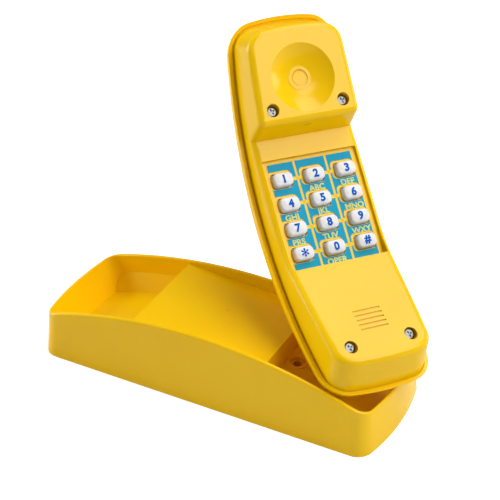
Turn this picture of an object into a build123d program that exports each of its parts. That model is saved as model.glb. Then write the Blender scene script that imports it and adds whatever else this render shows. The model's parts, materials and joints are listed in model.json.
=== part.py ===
from build123d import *
import os
from math import sqrt

# ---------------------------------------------------------------- cradle ----
CRADLE_LENGTH = 221.4        # at the back edge of the skirt
CRADLE_WIDTH = 78.4
END_RADIUS = 139.0           # bow of the ends in plan
CRADLE_CORNER = 10.0
SKIRT_DRAFT = 0.083          # inward lean of the skirt, mm per mm of height
RIM_MID = 45.3               # rim height at mid length and at the two ends
RIM_END = 25.2
WALL = 2.3
TRAY_HALF_WIDTH = 33.2       # inside the rim at mid length
TRAY_END_GAIN = 1.4          # how much wider the tray is at its ends
TRAY_BREAK = 12.0            # depth of the break between the two wall bands
TRAY_DEPTH = 22.0
TRAY_FLOOR_HALF = 26.0
TRAY_END_LEAN = 0.45         # slope of the tray's end walls
TRAY_HALF_LENGTH = CRADLE_LENGTH / 2 - SKIRT_DRAFT * RIM_END - WALL
RIM_ROUND = 1.3             # outer edge of the rim
RIM_ROUND_INSIDE = 0.8
GATE_PIP = (-3.3, 4.8)
PLATFORM_LEFT = -45.0
PLATFORM_RIGHT = 39.5
PLATFORM_LEFT_Z = 40.0
PLATFORM_RIGHT_Z = 35.4
HOLE_SPACING = 96.0          # wall screws
HOLE_CENTRE_X = -2.75
HOLE_RADIUS = 2.6
BOSS_RADIUS = 6.0
BOSS_SINK_RADIUS = 4.4
BOSS_SINK_DEPTH = 1.6
RIB = 2.2

# --------------------------------------------------------------- handset ----
# Local frame: X along the length towards the earpiece, Z out of the face.
FLANGE_HALF_LENGTH = 110.5
FLANGE_HALF_END = 32.8
FLANGE_HALF_MID = 36.1
FLANGE_SAG = 26.8            # how far the ends curve towards the face
FLANGE_CORNER = 16.4
LEDGE = 3.6                  # from the flange's edge to the front shell
LEDGE_INSET = 1.8            # where the ledge starts, inside the drafted outer wall
LIP_WIDTH = 2.0
LIP_HEIGHT = 1.0
BACK_DEPTH = 14.5            # back surface below the flange at mid length
BACK_END_DROP = 9.0          # and below it at the two ends
BACK_ROUND = 8.0
BEND_RADIUS = 60.0
SHELL = 2.2
FACE_Z = 15.0                # face beside the keypad
FRONT_HALF_END = 29.4        # front shell's half width, at the height of the flange's ends
FRONT_HALF_MID = 31.9
SIDE_DRAFT = 0.04
FACE_ROUND = 3.8
TOP_END_LEAN = 0.50
LOW_END_LEAN = 0.72
MOUTH_POINT = (-84.6, 38.9)
MOUTH_SLOPE = -0.4214
BLOCK_POINT = (55.4, 33.3)
BLOCK_SLOPE = 0.2144
BLOCK_FOOT_X = 42.9
BLOCK_EDGE_X = 46.8
DISH_X = 69.9
DISH_RADIUS = 19.4
DISH_DEPTH = 6.2
RING_OUTER = 6.8
RING_INNER = 5.0
DISC_RADIUS = 3.9
RING_HEIGHT = 0.5
SLIT = (4.6, 0.8)
SLOT_COUNT = 5
SLOT_FIRST_X = -65.3
SLOT_PITCH = 2.78
SLOT_LENGTH = 16.8
SLOT_WIDTH = 0.75
SLOT_DEPTH = 1.3

# ---------------------------------------------------------------- keypad ----
RECESS_X = (-34.2, 31.0)
RECESS_HALF = 29.6
RECESS_Z = 12.7
RECESS_FLOOR = 2.0
LABEL_X = (-34.0, 28.8)
LABEL_HALF = 26.2
LABEL_THICK = 0.3
PITCH_ACROSS = 19.7
PITCH_ALONG = 14.55
KEYPAD_CENTRE_X = -3.1
KEY_SIZE = (8.5, 12.4)       # along, across
KEY_TOP_Z = 17.3
KEY_GAP = 0.3
KEY_FLANGE = 0.8
KEY_TAPER = 6.0
KEY_NAMES = [["1", "2", "3"], ["4", "5", "6"], ["7", "8", "9"], ["star", "0", "pound"]]
BOARD_Z = 5.6
BOARD_THICK = 1.6
MAT_THICK = 0.7
PLUNGER_RADIUS = 2.0
KEY_ROUND = 1.5
WINDOW_MARGIN = 1.1          # label window around each key
WINDOW_SHIFT = (0.5, 0.7)    # the windows stand a little up and to the left of the keys
BOARD_SCREW_X = (-32.4, 27.8)
BOARD_X = (-35.4, 30.4)
BOARD_SCREW_Y = 20.0
BOARD_BOSS_RADIUS = 2.0
BOARD_SHANK_RADIUS = 0.85

# ---------------------------------------------------------------- screws ----
BLOCK_SCREW = (54.3, 21.8)
MOUTH_SCREW = (-84.6, 18.3)
SINK_RADIUS = 3.7
SINK_DEPTH = 4.4
HEAD_RADIUS = 3.25
HEAD_HEIGHT = 2.0
SHANK_RADIUS = 1.5
SHANK_LENGTH = 13.0
POST_RADIUS = 4.9

# --------------------------------------------------- speaker and battery ----
SPEAKER_RADIUS = 17.5
SPEAKER_TOP_Z = 26.5
CELL_RADIUS = 5.2
CELL_LENGTH = 44.5
CELL_Z = -5.6
DOOR_X = (-30.0, 30.0)
DOOR_HALF = 15.0
DOOR_GAP = 0.35
DOOR_SCREW_X = 26.4

# ------------------------------------------------------------- rest pose ----
HANDSET = Plane(origin=(32.2, 46.6, 91.5), x_dir=(-0.540, 0.468, 0.6996), z_dir=(0.5757, -0.401, 0.7126))


def arc_radius(half_length, sag):
    return (half_length ** 2 + sag ** 2) / (2 * sag)


def arc_height(x, radius):
    return radius - sqrt(radius ** 2 - x ** 2)


def outline(x_lo, x_hi, half_end, half_mid, corner, z, end_radius=END_RADIUS):
    """Rounded plan outline with bowed ends and gently bowed sides."""
    drop = arc_height(half_end, end_radius)
    middle = (x_lo + x_hi) / 2
    right, left = x_hi - drop, x_lo + drop
    edges = [ThreePointArc((right, -half_end, z), (x_hi, 0, z), (right, half_end, z)),
             ThreePointArc((right, half_end, z), (middle, half_mid, z), (left, half_end, z)),
             ThreePointArc((left, half_end, z), (x_lo, 0, z), (left, -half_end, z)),
             ThreePointArc((left, -half_end, z), (middle, -half_mid, z), (right, -half_end, z))]
    face = Face(Wire(edges))
    return face.fillet_2d(corner, face.vertices())


def prism(edges, half=60.0):
    """Solid made of a closed XZ outline, spread evenly to both sides of Y = 0."""
    return extrude(Face(Wire(edges)), amount=half, dir=(0, 1, 0), both=True)


def path(*points):
    """Straight XZ edges through the points."""
    return [Line((a[0], 0, a[1]), (b[0], 0, b[1])) for a, b in zip(points, points[1:])]


def post(x, y, z_low, z_high, radius):
    return Pos(x, y, (z_low + z_high) / 2) * Cylinder(radius, z_high - z_low)


def block(x_range, y_range, z_range):
    size = [b - a for a, b in (x_range, y_range, z_range)]
    centre = [(a + b) / 2 for a, b in (x_range, y_range, z_range)]
    return Pos(*centre) * Box(*size)


# ================================================================ cradle ====
RIM_RADIUS = arc_radius(CRADLE_LENGTH / 2, RIM_MID - RIM_END)


def rim_z(x):
    return RIM_MID - arc_height(x, RIM_RADIUS)


def skirt_body(inset):
    """Skirt volume under the rim's arch, drawn in by inset."""
    levels = (-1.0, 52.0) if inset else (0.0, 52.0)
    faces = []
    for z in levels:
        off = inset + SKIRT_DRAFT * z
        half = CRADLE_WIDTH / 2 - off
        end = CRADLE_LENGTH / 2 - off
        faces.append(outline(-end, end, half, half + 0.02, CRADLE_CORNER - inset, z))
    body = loft(faces, ruled=True)
    half = CRADLE_LENGTH / 2 + 5
    arch = [Line((-half, 0, rim_z(half)), (-half, 0, -5)),
            Line((-half, 0, -5), (half, 0, -5)),
            Line((half, 0, -5), (half, 0, rim_z(half))),
            ThreePointArc((half, 0, rim_z(half)), (0, 0, RIM_MID), (-half, 0, rim_z(half)))]
    return body & prism(arch)


def tray_body(grow):
    """Space inside the rim: upright upper walls, a sloped lower band and a floor along the arch."""
    slope = (TRAY_DEPTH - TRAY_BREAK) / (TRAY_HALF_WIDTH - TRAY_FLOOR_HALF)
    high = (TRAY_HALF_WIDTH + 8.0 + grow, RIM_MID - TRAY_BREAK + 8.0 * slope)
    low = (TRAY_FLOOR_HALF + grow, RIM_MID - TRAY_DEPTH - grow)
    over = (high[0], RIM_MID + 12.0)
    points = [(0, over[0], over[1]), (0, high[0], high[1]), (0, low[0], low[1])]
    points += [(0, -y, z) for _, y, z in reversed(points)]
    axis = Axis((0, 0, RIM_MID - RIM_RADIUS), (0, 1, 0))
    profile = Face(Polyline(*points, close=True).wire())
    channel = revolve(profile.rotate(axis, -24), axis, 48)
    faces = []
    for z in (0.0, 60.0):
        end = TRAY_HALF_LENGTH + grow + TRAY_END_LEAN * (z - RIM_END)
        draft = 0.03 * (z - RIM_MID)
        half = TRAY_HALF_WIDTH + grow + draft
        faces.append(outline(-end, end, half + TRAY_END_GAIN, half, CRADLE_CORNER - 2 + grow, z))
    return channel & loft(faces, ruled=True)


def platform_body(shrink):
    """Raised middle of the tray, sloping down to the right."""
    fall = (PLATFORM_RIGHT_Z - PLATFORM_LEFT_Z) / (PLATFORM_RIGHT - PLATFORM_LEFT)
    left, right = PLATFORM_LEFT + shrink, PLATFORM_RIGHT - shrink
    foot = 1.2
    top_left = (left, PLATFORM_LEFT_Z - shrink + fall * shrink)
    top_right = (right, PLATFORM_RIGHT_Z - shrink - fall * shrink)
    ends = path(top_left, (left - foot, -5), (right + foot, -5), top_right, top_left)
    return prism(ends)


def cradle_shell():
    """Tray, skirt and rim moulded in one piece, open at the back, with two wall-screw bosses."""
    skin = 2.0
    skirt = skirt_body(0)
    skirt = fillet([e for e in skirt.edges() if on_rim(e)], RIM_ROUND)
    shell = skirt - (tray_body(0) - platform_body(0))
    inner_rim = [e for e in shell.edges() if on_rim(e)]
    shell = fillet(inner_rim, RIM_ROUND_INSIDE)
    shell -= skirt_body(skin) - (tray_body(skin) - platform_body(skin))
    for side in (-1, 1):
        x = HOLE_CENTRE_X + side * HOLE_SPACING / 2
        floor = rim_z(x) - TRAY_DEPTH
        shell += post(x, 0, 0, floor - 0.4, BOSS_RADIUS)
        shell -= post(x, 0, -1, floor + 4, HOLE_RADIUS)
        shell -= post(x, 0, floor - BOSS_SINK_DEPTH, floor + 4, BOSS_SINK_RADIUS)
    reach = HOLE_SPACING / 2 - BOSS_RADIUS + 1.0
    rib = block((HOLE_CENTRE_X - reach, HOLE_CENTRE_X + reach), (-RIB / 2, RIB / 2), (0, 21.0))
    shell += rib
    for x in (-24.0, 18.0):
        shell += block((x - RIB / 2, x + RIB / 2), (-34.0, 34.0), (9.0, 24.0)) & skirt_body(1.0)
    shell += post(*GATE_PIP, 34.0, platform_z(GATE_PIP[0]) + 0.5, 0.9)
    return shell


def platform_z(x):
    fall = (PLATFORM_RIGHT_Z - PLATFORM_LEFT_Z) / (PLATFORM_RIGHT - PLATFORM_LEFT)
    return PLATFORM_LEFT_Z + fall * (x - PLATFORM_LEFT)


def on_rim(edge):
    """True on the two long closed chains of edges along the top of the rim."""
    ends = [edge.position_at(t) for t in (0.0, 0.5, 1.0)]
    return all(abs(p.Z - rim_z(p.X)) < 0.05 for p in ends)


# =============================================================== handset ====
FLANGE_RADIUS = arc_radius(FLANGE_HALF_LENGTH, FLANGE_SAG)
BACK_SAG = BACK_DEPTH + FLANGE_SAG - BACK_END_DROP
BACK_RADIUS = arc_radius(FLANGE_HALF_LENGTH, BACK_SAG)


def flange_z(x):
    return arc_height(x, FLANGE_RADIUS)


def under_arc(lift, top=70.0):
    """Slab of everything above the flange's curve, raised by lift."""
    half = FLANGE_HALF_LENGTH + 14
    low = flange_z(half) + lift
    edges = [ThreePointArc((-half, 0, low), (0, 0, lift), (half, 0, low)),
             Line((half, 0, low), (half, 0, top)), Line((half, 0, top), (-half, 0, top)),
             Line((-half, 0, top), (-half, 0, low))]
    return prism(edges)


def over_back(lift):
    """Slab between the back's curve, raised by lift, and a high lid."""
    half = FLANGE_HALF_LENGTH + 14
    low = arc_height(half, BACK_RADIUS) - BACK_DEPTH + lift
    edges = [ThreePointArc((-half, 0, low), (0, 0, lift - BACK_DEPTH), (half, 0, low)),
             Line((half, 0, low), (half, 0, 90)), Line((half, 0, 90), (-half, 0, 90)),
             Line((-half, 0, 90), (-half, 0, low))]
    return prism(edges)


def flange_prism(inset, draft=0.0):
    """Upright walls of the flange's outline, drawn in by inset and leaning in below."""
    faces = []
    for z in (-20.0, 45.0):
        off = inset + draft * (FLANGE_SAG - z)
        length = FLANGE_HALF_LENGTH - off
        corner = FLANGE_CORNER - inset
        faces.append(outline(-length, length, FLANGE_HALF_END - off, FLANGE_HALF_MID - off, corner, z))
    return loft(faces, ruled=True)


def rear_solid(inset, lift=0.0):
    """Rear half of the handset without its hollow: bowed outline, rounded back edges."""
    solid = flange_prism(inset, 0.05) & over_back(inset)
    solid = solid - under_arc(lift)
    back = [e for e in solid.edges() if abs(back_gap(e.position_at(0.5)) - inset) < 0.02]
    return fillet(back, BACK_ROUND - inset)


def back_gap(p):
    return p.Z + BACK_DEPTH - arc_height(p.X, BACK_RADIUS)


def mouth(x):
    return MOUTH_POINT[1] + MOUTH_SLOPE * (x - MOUTH_POINT[0])


def earpiece(x):
    return BLOCK_POINT[1] + BLOCK_SLOPE * (x - BLOCK_POINT[0])


def face_top(lower):
    """Region under the face: mouth slope, flat keypad stretch, step and earpiece block."""
    far = 125.0
    bend = MOUTH_POINT[0] + (FACE_Z - MOUTH_POINT[1]) / MOUTH_SLOPE
    points = [(-far, -20), (-far, mouth(-far) - lower), (bend, FACE_Z - lower),
              (BLOCK_FOOT_X + lower, FACE_Z - lower),
              (BLOCK_EDGE_X + lower, earpiece(BLOCK_EDGE_X + lower) - lower),
              (far, earpiece(far) - lower), (far, -20), (-far, -20)]
    face = Face(Wire(path(*points)))
    bend_at = [v for v in face.vertices() if abs(v.X - bend) < 0.01]
    face = face.fillet_2d(BEND_RADIUS, bend_at)
    return extrude(face, amount=60, dir=(0, 1, 0), both=True)


def front_solid(inset):
    """Front half without its hollow: leaning walls under the face's profile."""
    faces = []
    for z in (-10.0, 60.0):
        rise = z - FLANGE_SAG
        off = LEDGE + inset
        x_hi = FLANGE_HALF_LENGTH - off - TOP_END_LEAN * rise
        x_lo = -(FLANGE_HALF_LENGTH - off - LOW_END_LEAN * rise)
        half_end = FRONT_HALF_END - inset - SIDE_DRAFT * rise
        half_mid = FRONT_HALF_MID - inset - SIDE_DRAFT * rise
        faces.append(outline(x_lo, x_hi, half_end, half_mid, FLANGE_CORNER - 3 - inset, z))
    return loft(faces, ruled=True) & face_top(inset)


def face_edges(solid):
    """Edges round the face's flats and the step, which are rounded; the step's foot stays crisp."""
    flats = [f for f in solid.faces() if f.normal_at().Z > 0.6 and f.center().Z > 10]
    step = [f for f in solid.faces() if f.normal_at().X < -0.8 and 38 < f.center().X < 50]
    found = [(e, e.position_at(0.5)) for f in flats + step for e in f.edges()]
    chosen = []
    for i, (edge, middle) in enumerate(found):
        twins = [j for j, (_, other) in enumerate(found) if (other - middle).length < 0.001]
        outer = len(twins) == 1
        brow = len(twins) == 2 and abs(middle.X - BLOCK_EDGE_X) < 1.5 and middle.Z > 25
        if outer or (brow and i == twins[0]):
            chosen.append(edge)
    return chosen


BLOCK_DIP = BLOCK_SLOPE / sqrt(1 + BLOCK_SLOPE ** 2)
BLOCK_RISE = 1 / sqrt(1 + BLOCK_SLOPE ** 2)
DISH = Plane(origin=(DISH_X, 0, earpiece(DISH_X)), x_dir=(BLOCK_RISE, 0, BLOCK_DIP),
             z_dir=(-BLOCK_DIP, 0, BLOCK_RISE))
DISH_SPHERE = (DISH_RADIUS ** 2 + DISH_DEPTH ** 2) / (2 * DISH_DEPTH)


def on_dish(solid):
    return DISH * solid


def dish_backing():
    ball = Pos(0, 0, DISH_SPHERE - DISH_DEPTH) * Sphere(DISH_SPHERE + 2.0)
    column = Pos(0, 0, -5.5) * Cylinder(DISH_RADIUS + 2.5, 9.0)
    return on_dish(ball & column)


def dish_hollow():
    return on_dish(Pos(0, 0, DISH_SPHERE - DISH_DEPTH) * Sphere(DISH_SPHERE))


def dish_rings():
    """Raised ring and disc at the bottom of the dish."""
    low = -DISH_DEPTH - 0.8
    swell = arc_height(RING_OUTER, DISH_SPHERE)
    ring = post(0, 0, low, -DISH_DEPTH + swell + RING_HEIGHT - 0.3, RING_OUTER)
    ring -= post(0, 0, low - 1, 0, RING_INNER)
    disc = post(0, 0, low, -DISH_DEPTH + RING_HEIGHT, DISC_RADIUS)
    return [on_dish(ring), on_dish(disc)]


def key_centres():
    for row, names in enumerate(KEY_NAMES):
        for column, name in enumerate(names):
            x = KEYPAD_CENTRE_X + (1.5 - row) * PITCH_ALONG
            yield name, x, (1 - column) * PITCH_ACROSS


def rounded_block(x, y, z_low, z_high, length, width, radius, taper=0.0):
    sketch = Plane((x, y, z_low)) * RectangleRounded(length, width, radius)
    return extrude(sketch, amount=z_high - z_low, taper=taper)


def screw_places():
    """Place and seat height of the four face screws."""
    for (x, y), face in ((BLOCK_SCREW, earpiece), (MOUTH_SCREW, mouth)):
        for side in (-1, 1):
            yield x, side * y, face(x) - SINK_DEPTH


def front_shell():
    """Face moulding: earpiece block with its dish, keypad recess, mouth slots and screw sinks."""
    outer = front_solid(0) & under_arc(0.05)
    outer = fillet(face_edges(outer), FACE_ROUND)
    shell = outer - front_solid(SHELL)
    margin = SHELL
    pad_x = (RECESS_X[0] - margin, RECESS_X[1] + margin)
    pad_y = (-RECESS_HALF - margin, RECESS_HALF + margin)
    shell += block(pad_x, pad_y, (RECESS_Z - RECESS_FLOOR, FACE_Z + 4)) & outer
    shell += dish_backing()
    for x, y, seat in screw_places():
        shell += post(x, y, seat - 3.0, seat + SINK_DEPTH + 3, POST_RADIUS) & outer
    for x in BOARD_SCREW_X:
        for y in (-BOARD_SCREW_Y, BOARD_SCREW_Y):
            shell += post(x, y, BOARD_Z + BOARD_THICK, RECESS_Z - 1, BOARD_BOSS_RADIUS)
    shell -= rounded_block((RECESS_X[0] + RECESS_X[1]) / 2, 0, RECESS_Z, FACE_Z + 12,
                           RECESS_X[1] - RECESS_X[0], 2 * RECESS_HALF, 1.2)
    for _, x, y in key_centres():
        shell -= rounded_block(x, y, RECESS_Z - 4, RECESS_Z + 2,
                               KEY_SIZE[0] + 2 * KEY_GAP, KEY_SIZE[1] + 2 * KEY_GAP, 2.2)
    shell -= dish_hollow()
    for piece in dish_rings():
        shell += piece
    for x, y, seat in screw_places():
        shell -= post(x, y, seat, seat + SINK_DEPTH + 6, SINK_RADIUS)
        shell -= post(x, y, seat - 5, seat + 1, SHANK_RADIUS + 0.2)
    for x in BOARD_SCREW_X:
        for y in (-BOARD_SCREW_Y, BOARD_SCREW_Y):
            shell -= post(x, y, BOARD_Z, RECESS_Z - 1.2, BOARD_SHANK_RADIUS + 0.05)
    for i in range(SLOT_COUNT):
        x = SLOT_FIRST_X - i * SLOT_PITCH
        shell -= block((x - SLOT_WIDTH / 2, x + SLOT_WIDTH / 2), (-SLOT_LENGTH / 2, SLOT_LENGTH / 2),
                       (mouth(x) - SLOT_DEPTH, mouth(x) + 4))
    shell -= block((BLOCK_FOOT_X - 3, BLOCK_FOOT_X + 7), (-SLIT[0] / 2, SLIT[0] / 2), (24.6, 24.6 + SLIT[1]))
    return shell


def door_panel(gap):
    """Piece of the back wall that closes the battery bay, drawn in by gap."""
    skin = rear_solid(0) - rear_solid(SHELL, 2.0)
    window = block((DOOR_X[0] + gap, DOOR_X[1] - gap), (-DOOR_HALF + gap, DOOR_HALF - gap), (-20, -6))
    return skin & window


def rear_shell():
    """Back moulding with its flange, lip, screw posts and battery bay."""
    shell = rear_solid(0) - rear_solid(SHELL, 2.0)
    ledge = (flange_prism(LEDGE_INSET) & under_arc(-SHELL)) - under_arc(0)
    shell += ledge - flange_prism(LEDGE + SHELL + 0.6)
    lip = (flange_prism(0) & under_arc(-0.5)) - under_arc(LIP_HEIGHT)
    shell += lip - flange_prism(LIP_WIDTH)
    shell -= block(DOOR_X, (-DOOR_HALF, DOOR_HALF), (-20, -6))
    for x, y, seat in screw_places():
        floor = arc_height(x, BACK_RADIUS) - BACK_DEPTH + SHELL - 0.8
        shell += post(x, y, floor, seat - 3.05, 3.6)
        shell -= post(x, y, seat - SHANK_LENGTH - 1, seat, SHANK_RADIUS + 0.05)
    for side in (-1, 1):
        wall_x = side * (CELL_LENGTH / 2 + 2.9)
        shell += block((wall_x - 0.6, wall_x + 0.6), (-13.0, 13.0), (-9.0, 0.0))
        shell += block((-25.0, 25.0), (side * 12.0 - 0.6, side * 12.0 + 0.6), (-9.0, -3.0))
        shell += block((wall_x - 0.6, wall_x + 0.6), (-22.0, 22.0), (-12.5, -8.5)) & rear_solid(1)
        shell -= block((wall_x - 1.0, wall_x + 1.0), (-DOOR_HALF, DOOR_HALF), (-20, -9.0))
    shell -= post(DOOR_SCREW_X, 0, -20, -6.5, 1.9)
    return shell


def keypad_label():
    label = rounded_block((LABEL_X[0] + LABEL_X[1]) / 2, 0, RECESS_Z + 0.02, RECESS_Z + LABEL_THICK,
                          LABEL_X[1] - LABEL_X[0], 2 * LABEL_HALF, 0.5)
    for _, x, y in key_centres():
        label -= rounded_block(x + WINDOW_SHIFT[0], y + WINDOW_SHIFT[1], RECESS_Z - 1, RECESS_Z + 1,
                               KEY_SIZE[0] + 2 * WINDOW_MARGIN, KEY_SIZE[1] + 2 * WINDOW_MARGIN, 2.6)
    return label


def key(x, y):
    """Button cap with its retaining flange and the plunger that reaches the contact."""
    under = RECESS_Z - RECESS_FLOOR - KEY_GAP
    cap = rounded_block(x, y, under, KEY_TOP_Z, KEY_SIZE[0], KEY_SIZE[1], 2.4, KEY_TAPER)
    cap = fillet(cap.edges().group_by(Axis.Z)[-1], KEY_ROUND)
    flange = rounded_block(x, y, under - KEY_FLANGE, under, KEY_SIZE[0] + 1.6, KEY_SIZE[1] + 1.6, 1.0)
    return cap + flange + post(x, y, under - KEY_FLANGE - 0.9, under - KEY_FLANGE + 0.1, PLUNGER_RADIUS)


def keypad_mat():
    """Rubber sheet over the circuit board with a collar round each plunger."""
    low = BOARD_Z + BOARD_THICK + 0.05
    mat = rounded_block(-2.4, 0, low, low + MAT_THICK, 54.3, 53.0, 2.0)
    for _, x, y in key_centres():
        mat += post(x, y, low, low + MAT_THICK + 0.3, PLUNGER_RADIUS + 1.8)
    for _, x, y in key_centres():
        mat -= post(x, y, low - 1, low + 3, PLUNGER_RADIUS + 0.7)
    return mat


def circuit_board():
    board = rounded_block((BOARD_X[0] + BOARD_X[1]) / 2, 0, BOARD_Z, BOARD_Z + BOARD_THICK,
                          BOARD_X[1] - BOARD_X[0], 55.0, 1.5)
    for x in BOARD_SCREW_X:
        for y in (-BOARD_SCREW_Y, BOARD_SCREW_Y):
            board -= post(x, y, BOARD_Z - 1, BOARD_Z + 3, BOARD_SHANK_RADIUS + 0.1)
    return board


def board_screws():
    screws = []
    for x in BOARD_SCREW_X:
        for y in (-BOARD_SCREW_Y, BOARD_SCREW_Y):
            head = post(x, y, BOARD_Z - 1.3, BOARD_Z - 0.02, 1.8)
            screws.append(head + post(x, y, BOARD_Z - 0.1, RECESS_Z - 1.6, BOARD_SHANK_RADIUS))
    return Compound(screws)


def face_screws():
    """Four pan-head screws with cross recesses, sunk in the face."""
    screws = []
    for x, y, seat in screw_places():
        head = post(x, y, seat + 0.02, seat + HEAD_HEIGHT, HEAD_RADIUS)
        head = fillet(head.edges().group_by(Axis.Z)[-1], 1.1)
        for turn in (20, 110):
            slot = Pos(x, y, seat + HEAD_HEIGHT) * Rot(0, 0, turn) * Box(3.6, 0.9, 2.2)
            head -= slot
        screws.append(head + post(x, y, seat - SHANK_LENGTH, seat + 0.2, SHANK_RADIUS))
    return Compound(screws)


def speaker_frame():
    top = post(DISH_X, 0, SPEAKER_TOP_Z - 1.2, SPEAKER_TOP_Z, SPEAKER_RADIUS)
    basket = Pos(DISH_X, 0, SPEAKER_TOP_Z - 4.2) * Cone(9.5, SPEAKER_RADIUS - 2.0, 6.2)
    hollow = Pos(DISH_X, 0, SPEAKER_TOP_Z - 3.2) * Cone(8.0, SPEAKER_RADIUS - 2.6, 6.5)
    return top + basket - hollow


def speaker_cone():
    outer = Pos(DISH_X, 0, SPEAKER_TOP_Z - 2.9) * Cone(5.3, SPEAKER_RADIUS - 3.5, 4.6)
    return outer - Pos(DISH_X, 0, SPEAKER_TOP_Z - 2.4) * Cone(5.0, SPEAKER_RADIUS - 3.8, 4.6)


def speaker_magnet():
    low = SPEAKER_TOP_Z - 7.35
    return post(DISH_X, 0, low - 4.5, low, 9.0) + post(DISH_X, 0, low - 5.5, low - 4.4, 7.5)


def speaker_gasket():
    ring = post(DISH_X, 0, SPEAKER_TOP_Z + 0.05, SPEAKER_TOP_Z + 0.9, SPEAKER_RADIUS - 0.2)
    return ring - post(DISH_X, 0, SPEAKER_TOP_Z - 1, SPEAKER_TOP_Z + 2, SPEAKER_RADIUS - 3.0)


def battery_cells():
    cells = []
    for side in (-1, 1):
        body = Cylinder(CELL_RADIUS, CELL_LENGTH - 1.2)
        body = fillet(body.edges(), 0.5)
        cell = body + Pos(0, 0, CELL_LENGTH / 2 - 0.3) * Cylinder(1.9, 1.4)
        cells.append(Pos(0, side * (CELL_RADIUS + 0.4), CELL_Z) * Rot(0, 90 * side, 0) * cell)
    return Compound(cells)


def battery_contacts():
    """Sprung and flat contact plates at the cells' ends."""
    plates = []
    for end in (-1, 1):
        for side in (-1, 1):
            x = end * (CELL_LENGTH / 2 + 1.9)
            y = side * (CELL_RADIUS + 0.4)
            plate = block((x - 0.2, x + 0.2), (y - 4.2, y + 4.2), (CELL_Z - 3.6, CELL_Z + 4.4))
            if end != side:
                tip = Pos(x - end * 0.75, y, CELL_Z) * Rot(0, -90 * end, 0) * Cone(3.2, 2.0, 1.2)
                plate += tip
            plates.append(plate)
    return Compound(plates)


def battery_door():
    door = door_panel(DOOR_GAP)
    outer = arc_height(DOOR_SCREW_X, BACK_RADIUS) - BACK_DEPTH
    door -= post(DOOR_SCREW_X, 0, -20, -6, 1.45)
    door -= post(DOOR_SCREW_X, 0, -20, outer + 1.1, 2.6)
    for i in range(5):
        x = DOOR_X[0] + 8 + 2.2 * i
        groove = arc_height(x, BACK_RADIUS) - BACK_DEPTH + 0.5
        door -= block((x - 0.4, x + 0.4), (-7.0, 7.0), (-20, groove))
    return door


def battery_door_screw():
    outer = arc_height(DOOR_SCREW_X, BACK_RADIUS) - BACK_DEPTH
    head = post(DOOR_SCREW_X, 0, outer - 0.3, outer + 1.08, 2.4)
    for turn in (35, 125):
        head -= Pos(DOOR_SCREW_X, 0, outer - 0.3) * Rot(0, 0, turn) * Box(2.8, 0.7, 1.4)
    return head + post(DOOR_SCREW_X, 0, outer + 1.0, outer + 5.0, 1.25)


def sound_chip():
    """Chip under its round cap of resin, on the board's lower side."""
    cap = Pos(8, 0, BOARD_Z - 0.05) * Sphere(6.0)
    return cap & block((0, 16), (-8, 8), (BOARD_Z - 1.8, BOARD_Z - 0.05)) & post(8, 0, -5, 9, 5.6)


def wire(points, radius=0.6):
    """Insulated lead along straight runs joined by arcs."""
    line = FilletPolyline(*points, radius=2.0)
    return sweep(Plane(origin=line @ 0, z_dir=line % 0) * Circle(radius), path=line)


def speaker_leads():
    leads = []
    for side in (-1, 1):
        leads.append(wire([(26, side * 3, BOARD_Z - 0.8), (40, side * 3, BOARD_Z - 1.5),
                           (50, side * 5, 8.0), (60.8, side * 6, 16.4)]))
    return Compound(leads)


def battery_leads():
    leads = []
    for side in (-1, 1):
        y = side * 8
        leads.append(wire([(-26.2, y, -1.5), (-30.0, y, -0.5), (-28.0, y, 2.5), (-20, y, BOARD_Z - 0.8)]))
    return Compound(leads)


def local_pieces():
    """Every handset piece in the handset's own frame."""
    pieces = {"rear_shell": rear_shell(), "front_shell": front_shell(), "keypad_label": keypad_label(),
              "keypad_mat": keypad_mat(), "circuit_board": circuit_board(), "sound_chip": sound_chip(),
              "board_screws": board_screws(), "face_screws": face_screws(),
              "speaker_frame": speaker_frame(), "speaker_cone": speaker_cone(),
              "speaker_magnet": speaker_magnet(), "speaker_gasket": speaker_gasket(),
              "battery_cells": battery_cells(), "battery_contacts": battery_contacts(),
              "battery_door": battery_door(), "battery_door_screw": battery_door_screw(),
              "speaker_leads": speaker_leads(), "battery_leads": battery_leads()}
    for name, x, y in key_centres():
        pieces["button_" + name] = key(x, y)
    return pieces


def main():
    os.makedirs("parts", exist_ok=True)
    nodes = {"cradle_shell": cradle_shell()}
    for name, piece in local_pieces().items():
        nodes[name] = HANDSET.location * piece
    for name, solid in nodes.items():
        export_step(solid, "parts/" + name + ".step")


if __name__ == "__main__":
    main()
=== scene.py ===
"""Looks of a toy push-button telephone: a curved handset that stands in its arched cradle."""

import json
import logging
import math
from dataclasses import dataclass
from enum import Enum
from typing import ClassVar

import bmesh
import bpy
from mathutils import Matrix, Vector


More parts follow.
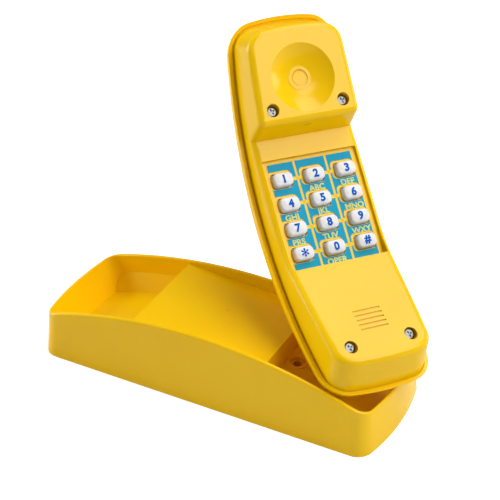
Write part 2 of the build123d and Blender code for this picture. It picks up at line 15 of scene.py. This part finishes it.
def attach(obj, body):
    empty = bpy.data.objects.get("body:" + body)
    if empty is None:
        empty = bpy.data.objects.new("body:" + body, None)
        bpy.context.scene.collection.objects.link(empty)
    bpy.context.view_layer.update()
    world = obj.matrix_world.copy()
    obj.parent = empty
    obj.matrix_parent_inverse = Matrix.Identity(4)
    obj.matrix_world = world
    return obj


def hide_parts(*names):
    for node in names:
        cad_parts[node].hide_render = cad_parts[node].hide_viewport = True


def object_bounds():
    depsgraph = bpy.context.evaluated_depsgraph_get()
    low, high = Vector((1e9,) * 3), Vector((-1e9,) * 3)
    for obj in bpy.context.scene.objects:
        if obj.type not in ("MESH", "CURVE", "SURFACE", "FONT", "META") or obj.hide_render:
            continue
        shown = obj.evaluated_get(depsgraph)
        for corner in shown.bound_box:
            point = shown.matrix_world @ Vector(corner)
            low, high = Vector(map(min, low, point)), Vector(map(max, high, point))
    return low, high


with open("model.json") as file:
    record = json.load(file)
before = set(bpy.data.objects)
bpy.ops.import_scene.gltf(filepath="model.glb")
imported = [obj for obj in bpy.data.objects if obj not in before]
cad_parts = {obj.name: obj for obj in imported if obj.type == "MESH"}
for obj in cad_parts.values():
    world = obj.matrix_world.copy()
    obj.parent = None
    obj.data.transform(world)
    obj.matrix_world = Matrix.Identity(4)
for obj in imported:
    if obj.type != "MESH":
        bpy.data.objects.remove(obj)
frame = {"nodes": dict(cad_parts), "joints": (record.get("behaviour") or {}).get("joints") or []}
CAD_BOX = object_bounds()
MM = 0.001
LOG = logging.getLogger("telephone")
Colour = tuple[float, float, float]
Point = tuple[float, float, float]
Span = tuple[float, float]


# ------------------------------------------------------------------ node trees
class Tree:
    """A node tree with short calls for adding and joining nodes."""

    def __init__(self, tree: bpy.types.NodeTree) -> None:
        """Keep the tree."""
        self.tree = tree

    def add(self, kind: str, **settings: object) -> bpy.types.Node:
        """Add a node.

        Args:
            kind: The node's Blender type.
            **settings: Attributes of the node.

        Returns:
            The new node.
        """
        node = self.tree.nodes.new(kind)
        for name, value in settings.items():
            setattr(node, name, value)
        return node

    def join(self, source: bpy.types.NodeSocket, target: bpy.types.NodeSocket) -> None:
        """Link an output to an input."""
        self.tree.links.new(source, target)

    def noise(self, vector: bpy.types.NodeSocket, scale: float, detail: float = 2.0) -> bpy.types.Node:
        """Add a noise texture on a vector.

        Args:
            vector: Where the pattern is read.
            scale: Features per metre.
            detail: Octaves.

        Returns:
            The noise node.
        """
        node = self.add("ShaderNodeTexNoise")
        node.inputs["Scale"].default_value = scale
        node.inputs["Detail"].default_value = detail
        self.join(vector, node.inputs["Vector"])
        return node

    def remap(self, source: bpy.types.NodeSocket, span: Span, result: Span) -> bpy.types.NodeSocket:
        """Map a value linearly, held inside the result's ends.

        Args:
            source: The value.
            span: Source values that give the result's ends.
            result: The two ends.

        Returns:
            The mapped value's socket.
        """
        node = self.add("ShaderNodeMapRange")
        for name, value in zip(("From Min", "From Max", "To Min", "To Max"), span + result):
            node.inputs[name].default_value = value
        self.join(source, node.inputs["Value"])
        return node.outputs["Result"]

    def blend(self, share: bpy.types.NodeSocket, low: Colour, high: Colour) -> bpy.types.NodeSocket:
        """Mix two colours by a value.

        Args:
            share: 0 gives low and 1 gives high.
            low: First colour.
            high: Second colour.

        Returns:
            The colour's socket.
        """
        node = self.add("ShaderNodeMix", data_type="RGBA")
        first, second = (k for k in node.inputs if k.type == "RGBA")
        first.default_value = (*low, 1.0)
        second.default_value = (*high, 1.0)
        self.join(share, node.inputs["Factor"])
        return next(k for k in node.outputs if k.type == "RGBA")


Sockets = dict[str, bpy.types.NodeSocket]


def shared_group(name: str, inputs: dict[str, float],
                 outputs: tuple[str, ...]) -> tuple[Tree, Sockets, Sockets]:
    """Start a shader node group with float sockets.

    Args:
        name: The group's name.
        inputs: Default value of each input.
        outputs: Names of the outputs.

    Returns:
        The tree, the input sockets by name and the output sockets by name.
    """
    group = bpy.data.node_groups.new(name, "ShaderNodeTree")
    for label, value in inputs.items():
        made = group.interface.new_socket(label, in_out="INPUT", socket_type="NodeSocketFloat")
        made.default_value = value
    for label in outputs:
        group.interface.new_socket(label, in_out="OUTPUT", socket_type="NodeSocketFloat")
    tree = Tree(group)
    entry = tree.add("NodeGroupInput")
    leave = tree.add("NodeGroupOutput")
    return tree, {k: entry.outputs[k] for k in inputs}, {k: leave.inputs[k] for k in outputs}


def make_moulded_skin() -> bpy.types.NodeTree:
    """Surface of a polished mould: a faint waviness, fine grain and slow changes in gloss.

    Returns:
        The group, with Height and Mottle outputs.
    """
    tree, given, put = shared_group("moulded_skin", {"Scale": 300.0, "Waviness": 0.6}, ("Height", "Mottle"))
    place = tree.add("ShaderNodeTexCoord").outputs["Object"]
    fine = tree.noise(place, 300.0, 3.0)
    tree.join(given["Scale"], fine.inputs["Scale"])
    wide = tree.noise(place, 22.0, 1.0)
    mix = tree.add("ShaderNodeMix", data_type="FLOAT")
    tree.join(given["Waviness"], mix.inputs["Factor"])
    tree.join(fine.outputs["Fac"], mix.inputs["A"])
    tree.join(wide.outputs["Fac"], mix.inputs["B"])
    tree.join(mix.outputs["Result"], put["Height"])
    slow = tree.noise(place, 14.0, 2.0)
    tree.join(tree.remap(slow.outputs["Fac"], (0.3, 0.7), (0.0, 1.0)), put["Mottle"])
    return tree.tree


def make_handling() -> bpy.types.NodeTree:
    """Faint scuffs from being handled.

    Returns:
        The group, with a Scuff output.
    """
    tree, given, put = shared_group("handling", {"Amount": 0.5}, ("Scuff",))
    turn = tree.add("ShaderNodeMapping")
    turn.inputs["Rotation"].default_value = (0.4, 0.7, 0.5)
    turn.inputs["Scale"].default_value = (1.0, 14.0, 14.0)
    tree.join(tree.add("ShaderNodeTexCoord").outputs["Object"], turn.inputs["Vector"])
    streaks = tree.noise(turn.outputs["Vector"], 60.0, 4.0)
    product = tree.add("ShaderNodeMath", operation="MULTIPLY")
    tree.join(tree.remap(streaks.outputs["Fac"], (0.66, 0.80), (0.0, 1.0)), product.inputs[0])
    tree.join(given["Amount"], product.inputs[1])
    tree.join(product.outputs["Value"], put["Scuff"])
    return tree.tree


SKIN = make_moulded_skin()
HANDLING = make_handling()
SCUFF_ROUGHNESS = 0.25
BLEED_REACH = (1.0, 0.6, 0.1)
BLEED_DEPTH_MM = 1.5
STREAK_MOTTLE = 0.3
SHARP_ANGLE = math.radians(40)


# -------------------------------------------------------------------- finishes
class Metal(Enum):
    """Whether a finish is a metal."""

    NO = 0.0
    YES = 1.0


@dataclass(frozen=True)
class Finish:
    """A surface with slow changes of colour and gloss, a fine skin and slight handling.

    Attributes:
        name: The finish's name.
        colour: Where the mottle is lowest.
        second: Where the mottle is highest.
        gloss: Roughness at the mottle's two ends.
        metal: Whether it is a metal.
        grain: Scale of the fine skin.
        waviness: Share of slow waves in the relief.
        relief_mm: Height of the relief.
        coat: Weight of a clear coat.
        wear: Strength of the scuffs.
        bleed: Weight of the light that passes under the surface.
        shine: Strength of the plain reflection.
    """

    name: str
    colour: Colour
    second: Colour
    gloss: Span
    metal: Metal = Metal.NO
    grain: float = 300.0
    waviness: float = 0.6
    relief_mm: float = 0.01
    coat: float = 0.0
    wear: float = 0.5
    bleed: float = 0.0
    shine: float = 0.5

    def material(self) -> bpy.types.Material:
        """Make the material, or find it if it is made.

        Returns:
            The material.
        """
        label = "finish_" + self.name
        found = bpy.data.materials.get(label)
        if found:
            return found
        made = bpy.data.materials.new(label)
        made.use_nodes = True
        tree = Tree(made.node_tree)
        shader = made.node_tree.nodes["Principled BSDF"]
        skin = tree.add("ShaderNodeGroup", node_tree=SKIN)
        skin.inputs["Scale"].default_value = self.grain
        skin.inputs["Waviness"].default_value = self.waviness
        tree.join(self.colour_socket(tree, skin.outputs["Mottle"]), shader.inputs["Base Color"])
        tree.join(self.roughness_socket(tree, skin.outputs["Mottle"]), shader.inputs["Roughness"])
        bump = tree.add("ShaderNodeBump")
        bump.inputs["Distance"].default_value = self.relief_mm * MM
        bump.inputs["Strength"].default_value = 1.0
        tree.join(skin.outputs["Height"], bump.inputs["Height"])
        tree.join(bump.outputs["Normal"], shader.inputs["Normal"])
        shader.inputs["Metallic"].default_value = self.metal.value
        shader.inputs["Coat Weight"].default_value = self.coat
        shader.inputs["Specular IOR Level"].default_value = self.shine
        shader.inputs["Subsurface Weight"].default_value = self.bleed
        shader.inputs["Subsurface Radius"].default_value = BLEED_REACH
        shader.inputs["Subsurface Scale"].default_value = BLEED_DEPTH_MM * MM
        return made

    def roughness_socket(self, tree: Tree, mottle: bpy.types.NodeSocket) -> bpy.types.NodeSocket:
        """Make the gloss follow the mottle, duller where it is scuffed.

        Args:
            tree: The material's tree.
            mottle: Slow changes.

        Returns:
            The roughness's socket.
        """
        wear = tree.add("ShaderNodeGroup", node_tree=HANDLING)
        wear.inputs["Amount"].default_value = self.wear
        rough = tree.add("ShaderNodeMath", operation="MULTIPLY_ADD", use_clamp=True)
        tree.join(wear.outputs["Scuff"], rough.inputs[0])
        rough.inputs[1].default_value = SCUFF_ROUGHNESS
        tree.join(tree.remap(mottle, (0.0, 1.0), self.gloss), rough.inputs[2])
        return rough.outputs["Value"]

    def colour_socket(self, tree: Tree, mottle: bpy.types.NodeSocket) -> bpy.types.NodeSocket:
        """Mix the two colours by the mottle."""
        return tree.blend(mottle, self.colour, self.second)


@dataclass(frozen=True)
class BrushedFinish(Finish):
    """Sheet metal with fine streaks."""

    def colour_socket(self, tree: Tree, mottle: bpy.types.NodeSocket) -> bpy.types.NodeSocket:
        """Mix the two colours by streaks along one direction.

        Args:
            tree: The material's tree.
            mottle: Slow changes, which lean the streaks towards the second colour.

        Returns:
            The colour's socket.
        """
        place = tree.add("ShaderNodeTexCoord").outputs["Object"]
        turn = tree.add("ShaderNodeMapping")
        turn.inputs["Scale"].default_value = (1.0, 40.0, 1.0)
        tree.join(place, turn.inputs["Vector"])
        streaks = tree.noise(turn.outputs["Vector"], 120.0, 3.0)
        share = tree.add("ShaderNodeMath", operation="MULTIPLY_ADD", use_clamp=True)
        share.inputs[1].default_value = STREAK_MOTTLE
        tree.join(mottle, share.inputs[0])
        tree.join(streaks.outputs["Fac"], share.inputs[2])
        return tree.blend(share.outputs["Value"], self.colour, self.second)


YELLOW = Finish("yellow_plastic", (0.93, 0.56, 0.0), (0.97, 0.60, 0.002), (0.17, 0.22), wear=0.2,
                bleed=0.12, shine=0.27)
YELLOW_PRINT = Finish("yellow_print", (0.95, 0.60, 0.01), (0.97, 0.64, 0.015), (0.34, 0.42),
                      relief_mm=0.004, shine=0.2)
WHITE = Finish("white_plastic", (0.80, 0.79, 0.80), (0.83, 0.82, 0.83), (0.24, 0.30), bleed=0.3, shine=0.4)
BLUE = Finish("blue_label", (0.0, 0.33, 0.53), (0.0, 0.37, 0.58), (0.40, 0.48), relief_mm=0.005, shine=0.12)
PALE_PRINT = Finish("pale_print", (0.74, 0.76, 0.20), (0.80, 0.80, 0.25), (0.45, 0.52), relief_mm=0.003,
                    shine=0.1)
FIGURE_INK = Finish("figure_ink", (0.0, 0.10, 0.52), (0.0, 0.12, 0.57), (0.45, 0.52), relief_mm=0.003,
                    shine=0.05)
STEEL = BrushedFinish("steel_screw", (0.13, 0.127, 0.123), (0.23, 0.225, 0.22), (0.30, 0.40), Metal.YES,
                      relief_mm=0.004, wear=0.8)
PLATED = BrushedFinish("steel_frame", (0.50, 0.50, 0.50), (0.66, 0.66, 0.65), (0.28, 0.38), Metal.YES)
BOARD = Finish("circuit_board", (0.012, 0.10, 0.035), (0.018, 0.13, 0.045), (0.30, 0.40), grain=900.0)
RESIN = Finish("black_resin", (0.010, 0.010, 0.011), (0.016, 0.016, 0.017), (0.16, 0.24))
RUBBER = Finish("grey_rubber", (0.10, 0.105, 0.11), (0.13, 0.135, 0.14), (0.55, 0.68), relief_mm=0.03)
PAPER = Finish("paper_cone", (0.012, 0.012, 0.013), (0.022, 0.022, 0.023), (0.75, 0.88), grain=1500.0,
               waviness=0.1, relief_mm=0.05)
MAGNET = Finish("black_magnet", (0.020, 0.021, 0.023), (0.032, 0.033, 0.036), (0.42, 0.56), grain=1200.0)
FOAM = Finish("black_foam", (0.012, 0.012, 0.012), (0.022, 0.022, 0.022), (0.85, 0.95), grain=1800.0,
              waviness=0.0, relief_mm=0.15)
CELL = Finish("cell_jacket", (0.16, 0.17, 0.19), (0.20, 0.21, 0.23), (0.24, 0.32), coat=0.3)
LEAD = Finish("red_lead", (0.42, 0.012, 0.010), (0.48, 0.016, 0.012), (0.38, 0.48))


def dress(piece: bpy.types.Object, finish: Finish) -> None:
    """Give a piece one finish on all its faces."""
    piece.data.materials.clear()
    piece.data.materials.append(finish.material())


# --------------------------------------------------------------- handset frame
@dataclass(frozen=True)
class HandsetFrame:
    """Turns millimetres along, across and out of the handset into the shared frame."""

    matrix: Matrix
    # where the door's hinge lies in the handset, in millimetres
    HINGE_ALONG: ClassVar[float] = -29.65
    HINGE_OUT: ClassVar[float] = -12.346

    @classmethod
    def from_joints(cls, joints: list[dict]) -> "HandsetFrame":
        """Read the handset's place from its packed joints.

        Args:
            joints: The record's joints.

        Returns:
            The frame whose X runs to the earpiece and whose Z comes out of the face.
        """
        by_name = {j["name"]: j for j in joints}
        out = -Vector(by_name["button_5_press"]["axis"]).normalized()
        across = Vector(by_name["battery_door_hinge"]["axis"]).normalized()
        along = across.cross(out)
        hinge = Vector(by_name["battery_door_hinge"]["pos_m"])
        origin = hinge - (along * cls.HINGE_ALONG + out * cls.HINGE_OUT) * MM
        turn = Matrix((along, across, out)).transposed().to_4x4()
        return cls(Matrix.Translation(origin) @ turn @ Matrix.Scale(MM, 4))

    def piece(self, name: str, shape: bmesh.types.BMesh, finish: Finish, body: str,
              slot: str | None = None) -> bpy.types.Object:
        """Make a mesh in the handset's millimetres into a piece that rides a body.

        Args:
            name: The piece's name.
            shape: The mesh, freed here.
            finish: Its finish.
            body: The body it rides.
            slot: The record's material slot, if it has one; not used.

        Returns:
            The piece.
        """
        shape.transform(self.matrix)
        bmesh.ops.recalc_face_normals(shape, faces=shape.faces)
        mesh = bpy.data.meshes.new(name)
        shape.to_mesh(mesh)
        shape.free()
        made = bpy.data.objects.new(name, mesh)
        bpy.context.scene.collection.objects.link(made)
        dress(made, finish)
        mesh.shade_smooth()
        mesh.set_sharp_from_angle(angle=SHARP_ANGLE)
        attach(made, body)
        return made


HANDSET = HandsetFrame.from_joints(frame["joints"])


# ---------------------------------------------------------------------- shapes
def rounded_slab(centre: Span, size: Span, z: Span, corner: float, segments: int = 6) -> bmesh.types.BMesh:
    """Upright slab with round corners.

    Args:
        centre: Middle along and across.
        size: Length along and across.
        z: Lower and upper height.
        corner: Corner radius.
        segments: Facets of each corner.

    Returns:
        The mesh, in millimetres.
    """
    shape = bmesh.new()
    bmesh.ops.create_cube(shape, size=1.0)
    bmesh.ops.scale(shape, vec=(size[0], size[1], z[1] - z[0]), verts=shape.verts)
    upright = [e for e in shape.edges if abs(e.verts[0].co.z - e.verts[1].co.z) > 0.01]
    bmesh.ops.bevel(shape, geom=upright, offset=corner, offset_type="OFFSET", affect="EDGES",
                    segments=segments, profile=0.5, material=-1)
    bmesh.ops.translate(shape, vec=(*centre, (z[0] + z[1]) / 2), verts=shape.verts)
    return shape


def add_into(target: bmesh.types.BMesh, extra: bmesh.types.BMesh) -> None:
    """Copy one mesh into another and free it."""
    holder = bpy.data.meshes.new("holder")
    extra.to_mesh(holder)
    extra.free()
    target.from_mesh(holder)
    bpy.data.meshes.remove(holder)


CAPITAL_SHARE = 0.729


def lettering(text: str, height: float, weight: float, squeeze: float = 1.0) -> bmesh.types.BMesh:
    """Flat filled characters that read with their top towards the earpiece.

    Args:
        text: The characters.
        height: Height of a capital in millimetres.
        weight: How far the strokes are thickened.
        squeeze: Width against the font's own.

    Returns:
        The mesh, centred, in millimetres.
    """
    curve = bpy.data.curves.new("lettering", "FONT")
    curve.body = text
    curve.size = 1.0
    curve.offset = weight
    curve.resolution_u = 4
    holder = bpy.data.objects.new("lettering", curve)
    bpy.context.scene.collection.objects.link(holder)
    mesh = bpy.data.meshes.new_from_object(holder.evaluated_get(bpy.context.evaluated_depsgraph_get()))
    shape = bmesh.new()
    shape.from_mesh(mesh)
    bpy.data.objects.remove(holder)
    bpy.data.curves.remove(curve)
    bpy.data.meshes.remove(mesh)
    xs = [v.co.x for v in shape.verts]
    ys = [v.co.y for v in shape.verts]
    middle = Vector(((min(xs) + max(xs)) / 2, (min(ys) + max(ys)) / 2, 0))
    bmesh.ops.translate(shape, vec=-middle, verts=shape.verts)
    size = height / CAPITAL_SHARE
    bmesh.ops.scale(shape, vec=(size * squeeze, size, 1.0), verts=shape.verts)
    bmesh.ops.rotate(shape, cent=(0, 0, 0), matrix=Matrix.Rotation(-math.pi / 2, 3, "Z"), verts=shape.verts)
    return shape


def thicken(shape: bmesh.types.BMesh, depth: float) -> None:
    """Give flat faces a thickness, downwards from where they are.

    Args:
        shape: Flat faces.
        depth: How far down they reach.
    """
    grown = bmesh.ops.extrude_face_region(shape, geom=list(shape.faces), use_keep_orig=True)
    low = [g for g in grown["geom"] if isinstance(g, bmesh.types.BMVert)]
    bmesh.ops.translate(shape, vec=(0, 0, -depth), verts=low)


# ---------------------------------------------------------------------- keypad
@dataclass
class Keypad:
    """Twelve keys in a printed label, four rows of three, in the handset's millimetres."""

    pitch_along: float = 14.55
    pitch_across: float = 19.7
    centre_x: float = -3.1
    length: float = 8.5
    width: float = 12.4
    corner: float = 2.9
    foot_z: float = 10.4
    shoulder_z: float = 15.6
    top_z: float = 17.28
    flange_depth: float = 0.8
    dome: float = 0.45
    lean: float = 0.4
    roll: float = 1.55
    cap_steps: int = 7
    flange_lip: float = 0.8
    plunger_radius: float = 2.0
    plunger_length: float = 0.9
    figure_height: float = 4.5
    figure_weight: float = 0.045
    star_height: float = 7.6
    star_weight: float = 0.015
    figure_lift: float = 0.02
    figure_depth: float = 0.3
    label_top: float = 13.0
    label_sunk: float = 0.1
    line_width: float = 1.3
    line_length: float = 62.8
    line_x: float = -2.6
    line_lift: float = 0.03
    bridge: Span = (2.0, 3.0)
    letters_x: float = -7.4
    letters_height: float = 3.5
    letters_weight: float = 0.03
    letters_stretch: float = 1.05
    letters_lift: float = 0.04
    letters_depth: float = 0.08
    figures: tuple[tuple[str, str, str], ...] = (
        ("1", "1", ""), ("2", "2", "ABC"), ("3", "3", "DEF"),
        ("4", "4", "GHI"), ("5", "5", "JKL"), ("6", "6", "MNO"),
        ("7", "7", "PRS"), ("8", "8", "TUV"), ("9", "9", "WXY"),
        ("star", "*", ""), ("0", "0", "OPER"), ("pound", "#", ""))

    def places(self) -> list[tuple[str, str, str, float, float]]:
        """List every key.

        Returns:
            Name, figure, letters and centre of each key.
        """
        found = []
        for i, (name, figure, letters) in enumerate(self.figures):
            row, column = divmod(i, 3)
            x = self.centre_x + (1.5 - row) * self.pitch_along
            found.append((name, figure, letters, x, (1 - column) * self.pitch_across))
        return found

    def cap(self, x: float, y: float) -> bmesh.types.BMesh:
        """Cap with leaning sides, a rolled shoulder and a domed top.

        Args:
            x: Centre along.
            y: Centre across.

        Returns:
            The mesh, in millimetres.
        """
        shape = rounded_slab((0, 0), (self.length, self.width), (self.foot_z, self.foot_z + 1), self.corner)
        top = max(shape.faces, key=lambda f: f.calc_center_median().z)
        half = Vector((self.length / 2, self.width / 2, 1))
        last = 0.15
        for inset, z in self.cap_profile():
            grown = bmesh.ops.extrude_discrete_faces(shape, faces=[top])
            top = grown["faces"][0]
            wanted = Vector((max(half.x - inset, last), max(half.y - inset, half.y * last / half.x), 1))
            now = Vector((max(v.co.x for v in top.verts), max(v.co.y for v in top.verts), 1))
            bmesh.ops.scale(shape, vec=(wanted.x / now.x, wanted.y / now.y, 1), verts=top.verts)
            bmesh.ops.translate(shape, vec=(0, 0, z - top.verts[0].co.z), verts=top.verts)
        bmesh.ops.translate(shape, vec=(x, y, 0), verts=shape.verts)
        return shape

    def cap_profile(self) -> list[tuple[float, float]]:
        """List the cap's section from the shoulder to the middle of the top.

        Returns:
            Distance in from the side, and height.
        """
        steps = self.cap_steps
        dome_foot = self.top_z - self.dome
        rings = [(self.lean, self.shoulder_z)]
        for i in range(1, steps + 1):
            turn = math.pi / 2 * i / steps
            rings.append((self.lean + self.roll * (1 - math.cos(turn)),
                          self.shoulder_z + (dome_foot - self.shoulder_z) * math.sin(turn)))
        rest = self.length / 2 - self.lean - self.roll
        for i in range(1, steps + 1):
            share = i / steps
            rings.append((self.lean + self.roll + rest * share,
                          dome_foot + self.dome * (1 - (1 - share) ** 2)))
        return rings

    def build_key(self, name: str, figure: str, x: float, y: float) -> None:
        """Make one key and its printed figure.

        Args:
            name: The key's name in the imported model.
            figure: What is printed on it.
            x: Centre along.
            y: Centre across.
        """
        body = "button_" + name
        shape = self.cap(x, y)
        flange_foot = self.foot_z - self.flange_depth
        flange_size = (self.length + 2 * self.flange_lip, self.width + 2 * self.flange_lip)
        add_into(shape, rounded_slab((x, y), flange_size, (flange_foot, self.foot_z), 1.0, 3))
        plunger = bmesh.new()
        bmesh.ops.create_cone(plunger, cap_ends=True, segments=24, radius1=self.plunger_radius,
                              radius2=self.plunger_radius, depth=self.plunger_length)
        bmesh.ops.translate(plunger, vec=(x, y, flange_foot - self.plunger_length / 2), verts=plunger.verts)
        add_into(shape, plunger)
        key = HANDSET.piece("key_" + name, shape, WHITE, body, "white_plastic")
        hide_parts(body)
        if figure == "*":
            ink = lettering(figure, self.star_height, self.star_weight)
        else:
            ink = lettering(figure, self.figure_height, self.figure_weight)
        bmesh.ops.translate(ink, vec=(x, y, self.top_z + self.figure_lift), verts=ink.verts)
        thicken(ink, self.figure_depth)
        HANDSET.piece("figure_" + name, ink, FIGURE_INK, body)

    def build_lines(self) -> None:
        """Print the label's two column lines and the bridges from them to the keys."""
        depth = (self.label_top - self.label_sunk, self.label_top + self.line_lift)
        lines = bmesh.new()
        for side in (-1, 1):
            add_into(lines, rounded_slab((self.line_x, side * self.pitch_across / 2),
                                         (self.line_length, self.line_width), depth, 0.1, 2))
        for _, _, _, x, y in self.places():
            for side in (-1, 1):
                middle = y + side * (self.pitch_across + self.width) / 4
                if abs(middle) < self.pitch_across:
                    add_into(lines, rounded_slab((x, middle), self.bridge, depth, 0.5, 3))
        HANDSET.piece("label_lines", lines, YELLOW_PRINT, "handset", "yellow_plastic")

    def build_letters(self) -> None:
        """Print the pale letters under the keys."""
        for name, _, letters, x, y in self.places():
            if letters:
                ink = lettering(letters, self.letters_height, self.letters_weight, self.letters_stretch)
                bmesh.ops.translate(ink, vec=(x + self.letters_x, y, self.label_top + self.letters_lift),
                                    verts=ink.verts)
                thicken(ink, self.letters_depth)
                HANDSET.piece("letters_" + name, ink, PALE_PRINT, "handset")

    def build(self) -> None:
        """Make all the keys and the print."""
        for name, figure, _, x, y in self.places():
            self.build_key(name, figure, x, y)
            LOG.info("key %s", name)
        self.build_lines()
        self.build_letters()
        LOG.info("label print")


# ----------------------------------------------------------------- CAD pieces
@dataclass
class Assembly:
    """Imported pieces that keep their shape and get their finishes."""

    def finishes(self) -> dict[str, Finish]:
        """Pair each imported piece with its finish."""
        raise NotImplementedError

    def dress(self) -> None:
        """Put every finish on its piece."""
        for name, finish in self.finishes().items():
            dress(frame["nodes"][name], finish)
            LOG.info("dressed %s", name)


@dataclass
class Cradle(Assembly):
    """The arched open cradle."""

    shell: Finish = YELLOW

    def finishes(self) -> dict[str, Finish]:
        """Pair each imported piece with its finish."""
        return {"cradle_shell": self.shell}


@dataclass
class HandsetShells(Assembly):
    """The handset's two mouldings, its label and the four screws that join them."""

    shell: Finish = YELLOW
    label: Finish = BLUE
    screws: Finish = STEEL

    def finishes(self) -> dict[str, Finish]:
        """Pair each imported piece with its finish."""
        return {"rear_shell": self.shell, "front_shell": self.shell,
                "keypad_label": self.label, "face_screws": self.screws}


@dataclass
class Electronics(Assembly):
    """The board behind the keys, its rubber mat, its chip and its screws."""

    mat: Finish = RUBBER
    board: Finish = BOARD
    chip: Finish = RESIN
    screws: Finish = STEEL

    def finishes(self) -> dict[str, Finish]:
        """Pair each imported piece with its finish."""
        return {"keypad_mat": self.mat, "circuit_board": self.board,
                "sound_chip": self.chip, "board_screws": self.screws}


@dataclass
class Speaker(Assembly):
    """The small speaker under the earpiece dish."""

    basket: Finish = PLATED
    cone: Finish = PAPER
    magnet: Finish = MAGNET
    gasket: Finish = FOAM
    leads: Finish = LEAD

    def finishes(self) -> dict[str, Finish]:
        """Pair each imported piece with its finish."""
        return {"speaker_frame": self.basket, "speaker_cone": self.cone, "speaker_magnet": self.magnet,
                "speaker_gasket": self.gasket, "speaker_leads": self.leads}


@dataclass
class Battery(Assembly):
    """Two cells, their contacts and leads, and the door with its screw."""

    cells: Finish = CELL
    contacts: Finish = PLATED
    leads: Finish = LEAD
    door: Finish = YELLOW
    screw: Finish = STEEL

    def finishes(self) -> dict[str, Finish]:
        """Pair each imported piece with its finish."""
        return {"battery_cells": self.cells, "battery_contacts": self.contacts, "battery_leads": self.leads,
                "battery_door": self.door, "battery_door_screw": self.screw}


# ------------------------------------------------------------------------ room
@dataclass
class Studio:
    """White floor, pale surroundings, soft lights and the camera."""

    azimuth: float = 28.63
    elevation: float = 33.43
    roll: float = 0.77
    lens: float = 108.9
    camera_place: Point = (0.3527, -0.6181, 0.5526)
    aim: Point = (0.02, 0.02, 0.08)
    floor_size: float = 6.0
    floor_drop: float = 0.0002
    floor_glow: float = 0.6
    sky_light: float = 0.16
    sky_seen: float = 1.0

    def floor(self) -> None:
        """Lay the floor just under the cradle."""
        shape = bmesh.new()
        bmesh.ops.create_grid(shape, x_segments=1, y_segments=1, size=self.floor_size)
        bmesh.ops.translate(shape, vec=(0, 0, CAD_BOX[0].z - self.floor_drop), verts=shape.verts)
        mesh = bpy.data.meshes.new("floor")
        shape.to_mesh(mesh)
        shape.free()
        made = bpy.data.objects.new("floor", mesh)
        bpy.context.scene.collection.objects.link(made)
        paint = bpy.data.materials.new("floor_paint")
        paint.use_nodes = True
        shader = paint.node_tree.nodes["Principled BSDF"]
        shader.inputs["Base Color"].default_value = (0.84, 0.84, 0.84, 1.0)
        shader.inputs["Emission Color"].default_value = (1.0, 1.0, 1.0, 1.0)
        tree = Tree(paint.node_tree)
        seen = tree.add("ShaderNodeLightPath").outputs["Is Camera Ray"]
        tree.join(tree.remap(seen, (0.0, 1.0), (0.0, self.floor_glow)), shader.inputs["Emission Strength"])
        shader.inputs["Roughness"].default_value = 0.9
        made.data.materials.append(paint)

    def sky(self) -> None:
        """Surround the scene with even pale light."""
        world = bpy.data.worlds.new("pale")
        world.use_nodes = True
        tree = Tree(world.node_tree)
        shader = world.node_tree.nodes["Background"]
        shader.inputs["Color"].default_value = (1.0, 1.0, 1.0, 1.0)
        seen = tree.add("ShaderNodeLightPath").outputs["Is Camera Ray"]
        tree.join(tree.remap(seen, (0.0, 1.0), (self.sky_light, self.sky_seen)), shader.inputs["Strength"])
        bpy.context.scene.world = world

    def lamp(self, name: str, place: Point, size: float, power: float) -> None:
        """Hang one soft square light aimed at the telephone.

        Args:
            name: The light's name.
            place: Where it hangs.
            size: Its side in metres.
            power: Its strength in watts.
        """
        light = bpy.data.lights.new(name, "AREA")
        light.size = size
        light.energy = power
        made = bpy.data.objects.new(name, light)
        made.location = place
        aim = Vector(self.aim) - Vector(place)
        made.rotation_mode = "QUATERNION"
        made.rotation_quaternion = aim.to_track_quat("-Z", "Y")
        bpy.context.scene.collection.objects.link(made)

    def camera(self) -> None:
        """Stand the camera."""
        a, e, r = (math.radians(v) for v in (self.azimuth, self.elevation, self.roll))
        right = Vector((math.cos(a), math.sin(a), 0))
        back = Vector((math.sin(a) * math.cos(e), -math.cos(a) * math.cos(e), math.sin(e)))
        up = back.cross(right)
        turned_right = right * math.cos(r) - up * math.sin(r)
        turned_up = right * math.sin(r) + up * math.cos(r)
        view = Matrix((turned_right, turned_up, back)).transposed().to_4x4()
        data = bpy.data.cameras.new("camera")
        data.lens = self.lens
        data.sensor_width = 36.0
        data.clip_start, data.clip_end = 0.05, 20.0
        made = bpy.data.objects.new("camera", data)
        made.matrix_world = Matrix.Translation(Vector(self.camera_place)) @ view
        bpy.context.scene.collection.objects.link(made)
        bpy.context.scene.camera = made

    def build(self) -> None:
        """Set the whole room."""
        bpy.context.scene.view_settings.view_transform = "Standard"
        self.floor()
        self.sky()
        self.lamp("key_light", (1.35, -0.05, 1.55), 1.3, 24.0)
        self.lamp("top_light", (0.3, 0.75, 1.7), 1.1, 15.0)
        self.lamp("left_light", (-1.85, -0.4, 0.6), 1.2, 26.0)
        self.lamp("strip_light", (1.2, 1.35, 0.3), 0.5, 3.0)
        self.camera()


def main() -> None:
    """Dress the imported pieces, build the keypad and set the room."""
    logging.basicConfig(level=logging.INFO, format="%(name)s: %(message)s")
    for assembly in (Cradle(), HandsetShells(), Electronics(), Speaker(), Battery()):
        assembly.dress()
    Keypad().build()
    Studio().build()


if __name__ == "__main__":
    main()
